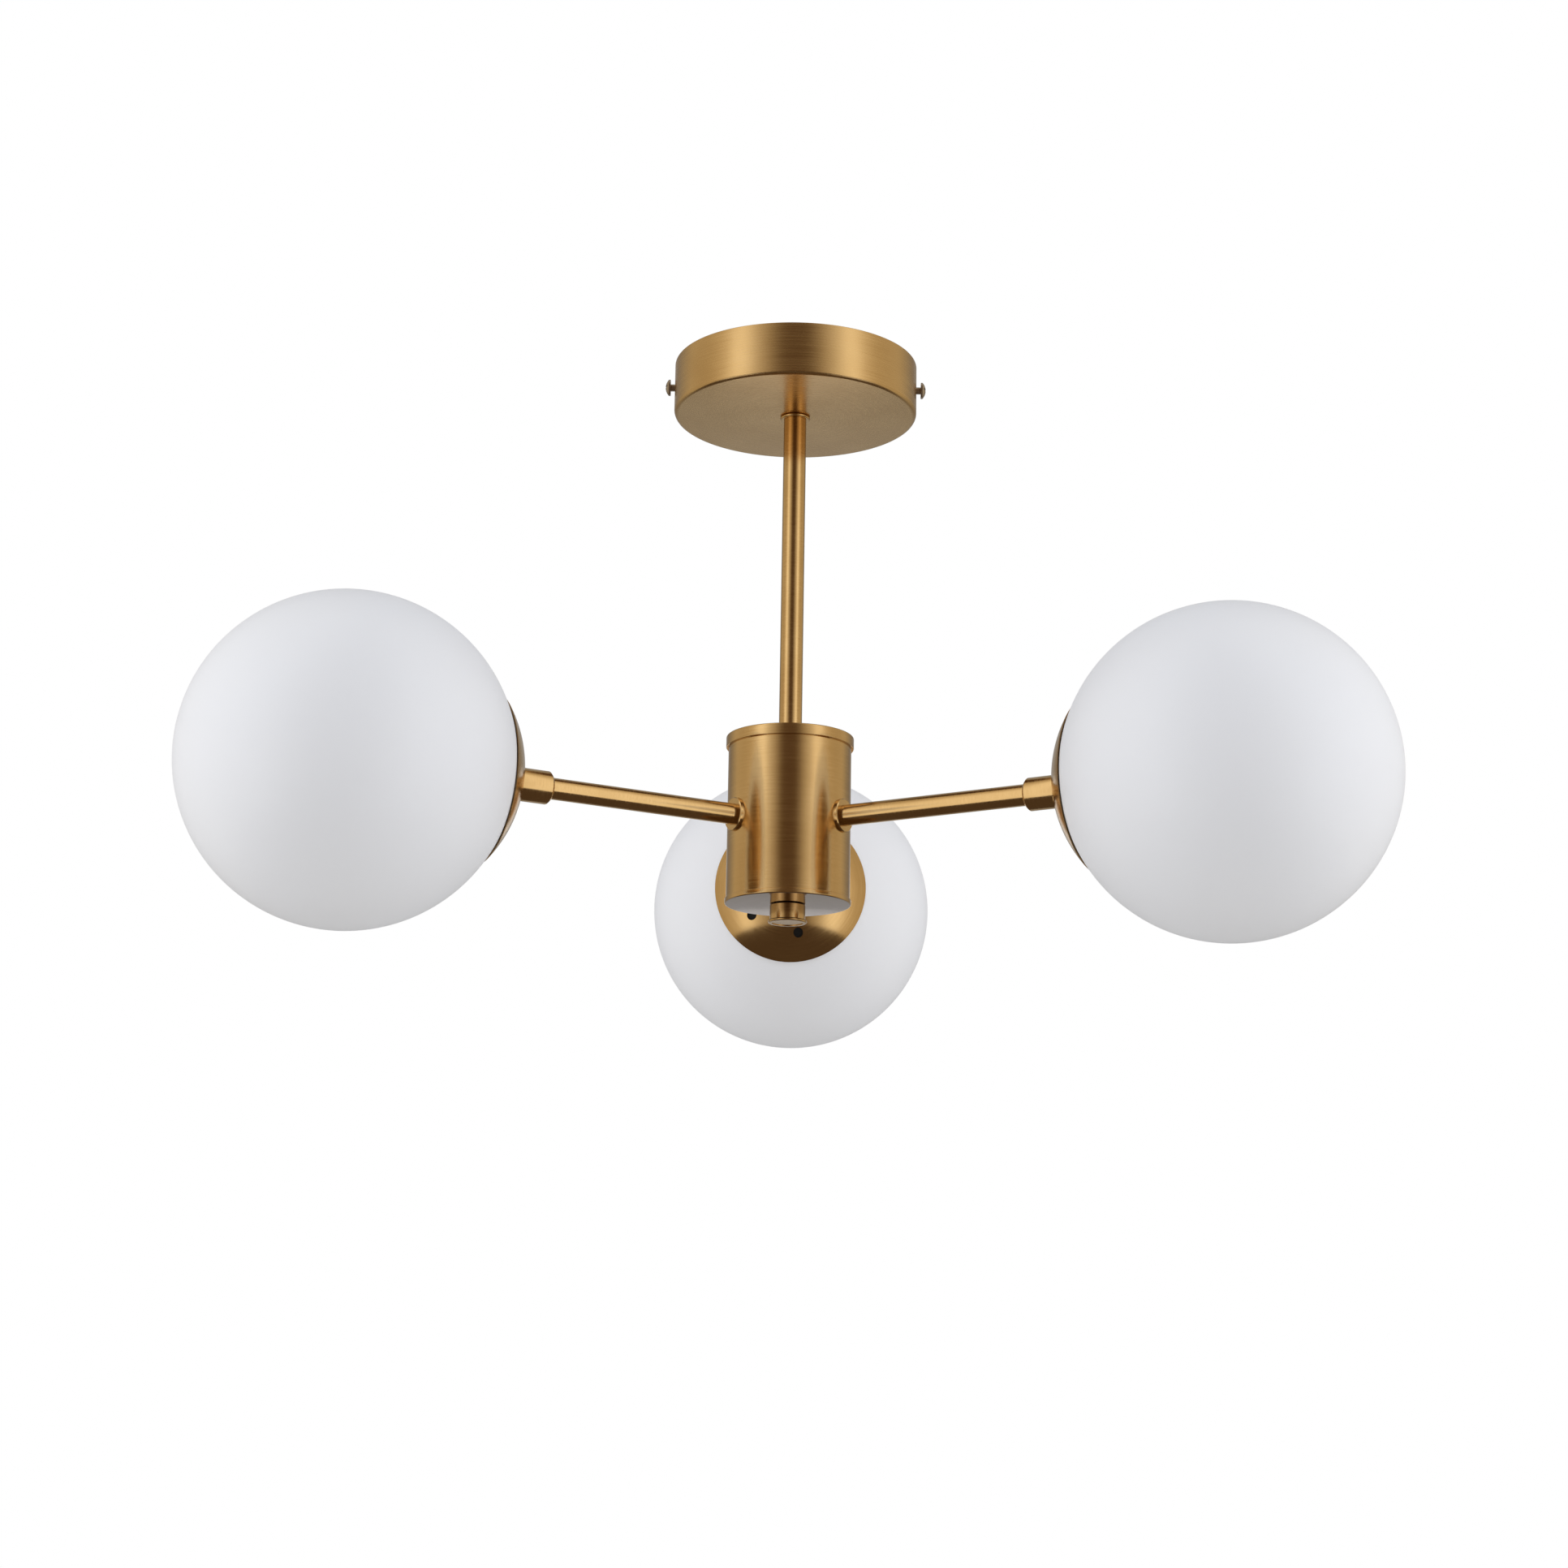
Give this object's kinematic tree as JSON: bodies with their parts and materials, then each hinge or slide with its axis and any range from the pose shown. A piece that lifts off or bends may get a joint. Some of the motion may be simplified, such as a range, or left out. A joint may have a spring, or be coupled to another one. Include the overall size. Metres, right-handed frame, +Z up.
{
  "type": "semi flush ceiling light",
  "caption": "Ceiling light with a round canopy, a straight stem, a cylindrical hub and level arms that end in domed cups with opal glass globes.",
  "frame": {"origin": "middle of the bracket's top face, which lies on the ceiling", "axes": "+Z up into the ceiling along the stem; -Y front, between the two front arms; +X to the right"},
  "size_m": [0.5372, 0.4852, 0.3042],
  "materials": {
    "antique_brass": "brushed antique brass",
    "plated_steel": "satin nickel plate",
    "zinc_strip": "zinc plated",
    "plain_brass": "bright",
    "block_plastic": "matte",
    "black_plastic": "matte",
    "black_silicone": "matte",
    "opal_glass": "satin opal",
    "holder_ceramic": "glazed",
    "bulb_plastic": "gloss",
    "frosted_bulb": "frosted"
  },
  "bodies": {
    "fixture": {"arm_end_collar_1": "antique_brass", "arm_end_collar_2": "antique_brass", "arm_end_collar_3": "antique_brass", "arm_lock_nut_1": "zinc_strip", "arm_lock_nut_2": "zinc_strip", "arm_lock_nut_3": "zinc_strip", "arm_root_ring_1": "antique_brass", "arm_root_ring_2": "antique_brass", "arm_root_ring_3": "antique_brass", "arm_tube_1": "antique_brass", "arm_tube_2": "antique_brass", "arm_tube_3": "antique_brass", "canopy": "antique_brass", "canopy_nut": "zinc_strip", "ceiling_bracket": "zinc_strip", "earth_screw": "plain_brass", "glass_cup_1": "antique_brass", "glass_cup_2": "antique_brass", "glass_cup_3": "antique_brass", "globe_spigot_1": "black_plastic", "globe_spigot_2": "black_plastic", "globe_spigot_3": "black_plastic", "holder_nipple_1": "zinc_strip", "holder_nipple_2": "zinc_strip", "holder_nipple_3": "zinc_strip", "holder_nut_1": "zinc_strip", "holder_nut_2": "zinc_strip", "holder_nut_3": "zinc_strip", "hub_bottom_nut": "zinc_strip", "hub_bottom_plate": "antique_brass", "hub_cap": "antique_brass", "hub_shell": "antique_brass", "hub_tie_tube": "zinc_strip", "hub_top_nut": "zinc_strip", "lamp_holder_1": "holder_ceramic", "lamp_holder_2": "holder_ceramic", "lamp_holder_3": "holder_ceramic", "stem_top_nipple": "zinc_strip", "stem_tube": "antique_brass", "stem_washer": "antique_brass", "terminal_block": "block_plastic"},
    "canopy_screw_left": {"canopy_screw_left": "plated_steel"},
    "canopy_screw_right": {"canopy_screw_right": "plated_steel"},
    "finial": {"finial": "antique_brass"},
    "globe_1_gasket": {"globe_gasket_1": "black_silicone"},
    "globe_1": {"glass_globe_1": "opal_glass", "globe_thread_ring_1": "black_plastic"},
    "bulb_1": {"bulb_base_1": "bulb_plastic", "bulb_envelope_1": "frosted_bulb"},
    "globe_2_gasket": {"globe_gasket_2": "black_silicone"},
    "globe_2": {"glass_globe_2": "opal_glass", "globe_thread_ring_2": "black_plastic"},
    "bulb_2": {"bulb_base_2": "bulb_plastic", "bulb_envelope_2": "frosted_bulb"},
    "globe_3_gasket": {"globe_gasket_3": "black_silicone"},
    "globe_3": {"glass_globe_3": "opal_glass", "globe_thread_ring_3": "black_plastic"},
    "bulb_3": {"bulb_base_3": "bulb_plastic", "bulb_envelope_3": "frosted_bulb"}
  },
  "joints": [
    {"name": "canopy_screw_left_draw", "type": "slide", "parent": "fixture", "child": "canopy_screw_left", "axis": [-1, 0, 0], "range_m": [0, 0.012]},
    {"name": "canopy_screw_right_draw", "type": "slide", "parent": "fixture", "child": "canopy_screw_right", "axis": [1, 0, 0], "range_m": [0, 0.012]},
    {"name": "finial_draw", "type": "slide", "parent": "fixture", "child": "finial", "axis": [0, 0, -1], "range_m": [0, 0.012]},
    {"name": "globe_1_draw", "type": "slide", "parent": "fixture", "child": "globe_1_gasket", "axis": [0, 1, 0], "range_m": [0, 0.07]},
    {"name": "globe_1_turn", "type": "hinge", "parent": "globe_1_gasket", "child": "globe_1", "pos_m": [0, 0.2235, -0.2292], "axis": [0, 1, 0], "range_deg": [0, 540]},
    {"name": "bulb_1_draw", "type": "slide", "parent": "fixture", "child": "bulb_1", "axis": [0, 1, 0], "range_m": [0, 0.045]},
    {"name": "globe_2_draw", "type": "slide", "parent": "fixture", "child": "globe_2_gasket", "axis": [-0.866, -0.5, 0], "range_m": [0, 0.07]},
    {"name": "globe_2_turn", "type": "hinge", "parent": "globe_2_gasket", "child": "globe_2", "pos_m": [-0.19356, -0.11175, -0.2292], "axis": [-0.866, -0.5, 0], "range_deg": [0, 540]},
    {"name": "bulb_2_draw", "type": "slide", "parent": "fixture", "child": "bulb_2", "axis": [-0.866, -0.5, 0], "range_m": [0, 0.045]},
    {"name": "globe_3_draw", "type": "slide", "parent": "fixture", "child": "globe_3_gasket", "axis": [0.866, -0.5, 0], "range_m": [0, 0.07]},
    {"name": "globe_3_turn", "type": "hinge", "parent": "globe_3_gasket", "child": "globe_3", "pos_m": [0.19356, -0.11175, -0.2292], "axis": [0.866, -0.5, 0], "range_deg": [0, 540]},
    {"name": "bulb_3_draw", "type": "slide", "parent": "fixture", "child": "bulb_3", "axis": [0.866, -0.5, 0], "range_m": [0, 0.045]}
  ]
}
